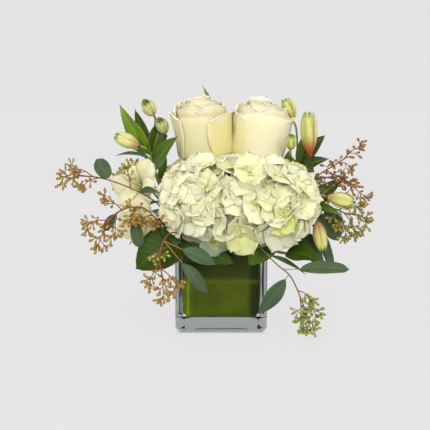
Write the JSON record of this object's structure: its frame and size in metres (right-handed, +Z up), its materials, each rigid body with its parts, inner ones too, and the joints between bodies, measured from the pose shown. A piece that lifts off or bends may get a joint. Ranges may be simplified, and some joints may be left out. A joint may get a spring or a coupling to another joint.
{
  "type": "floral table centerpiece",
  "caption": "Low arrangement of white hydrangea, cream roses, alstroemeria, seeded eucalyptus and salal leaves in a square clear glass vase lined with a leaf.",
  "frame": {"origin": "middle of the vase's underside, where it rests on the table", "axes": "+Z up, -Y towards the viewer at the front, +X to the right seen from the front"},
  "size_m": [0.3365, 0.1994, 0.258],
  "materials": {
    "clear_glass": "pressed soda-lime glass, fire polished",
    "liner_leaf": "fresh broad leaf, satin",
    "water": "clear still water",
    "hydrangea_florets": "matt petals",
    "rose_petals": "velvet-matt petals",
    "alstroemeria_tepals": "satin petals",
    "alstroemeria_buds": "satin petals with green keels",
    "green_stem": "fresh green stem, satin",
    "alstroemeria_leaves": "glossy thin leaf",
    "eucalyptus": "waxy grey-green leaf and woody twig",
    "salal": "leathery leaf, satin gloss"
  },
  "bodies": {
    "root": {"alstroemeria_back_bloom_1": "alstroemeria_tepals", "alstroemeria_back_bloom_2": "alstroemeria_tepals", "alstroemeria_back_stem": "alstroemeria_leaves", "alstroemeria_left_bud_1": "alstroemeria_buds", "alstroemeria_left_bud_2": "alstroemeria_buds", "alstroemeria_left_bud_3": "alstroemeria_buds", "alstroemeria_left_stem": "alstroemeria_leaves", "alstroemeria_low_bud_1": "alstroemeria_buds", "alstroemeria_low_bud_2": "alstroemeria_buds", "alstroemeria_low_stem": "alstroemeria_leaves", "alstroemeria_right_bud_1": "alstroemeria_buds", "alstroemeria_right_bud_2": "alstroemeria_buds", "alstroemeria_right_bud_3": "alstroemeria_buds", "alstroemeria_right_stem": "alstroemeria_leaves", "alstroemeria_side_bloom_1": "alstroemeria_tepals", "alstroemeria_side_bloom_2": "alstroemeria_tepals", "alstroemeria_side_stem": "alstroemeria_leaves", "eucalyptus_back_left": "eucalyptus", "eucalyptus_back_right": "eucalyptus", "eucalyptus_left_hanging": "eucalyptus", "eucalyptus_left_middle": "eucalyptus", "eucalyptus_left_upper": "eucalyptus", "eucalyptus_right_hanging": "eucalyptus", "eucalyptus_right_low": "eucalyptus", "eucalyptus_right_upper": "eucalyptus", "glass_vase": "clear_glass", "hydrangea_back_head": "hydrangea_florets", "hydrangea_back_stem": "green_stem", "hydrangea_front_head": "hydrangea_florets", "hydrangea_front_stem": "green_stem", "liner_leaf": "liner_leaf", "rose_left_bloom": "rose_petals", "rose_left_stem": "green_stem", "rose_right_bloom": "rose_petals", "rose_right_stem": "green_stem", "salal_back_left": "salal", "salal_back_right": "salal", "salal_front": "salal", "salal_left": "salal", "salal_right": "salal", "salal_side": "salal", "water": "water"}
  },
  "joints": []
}
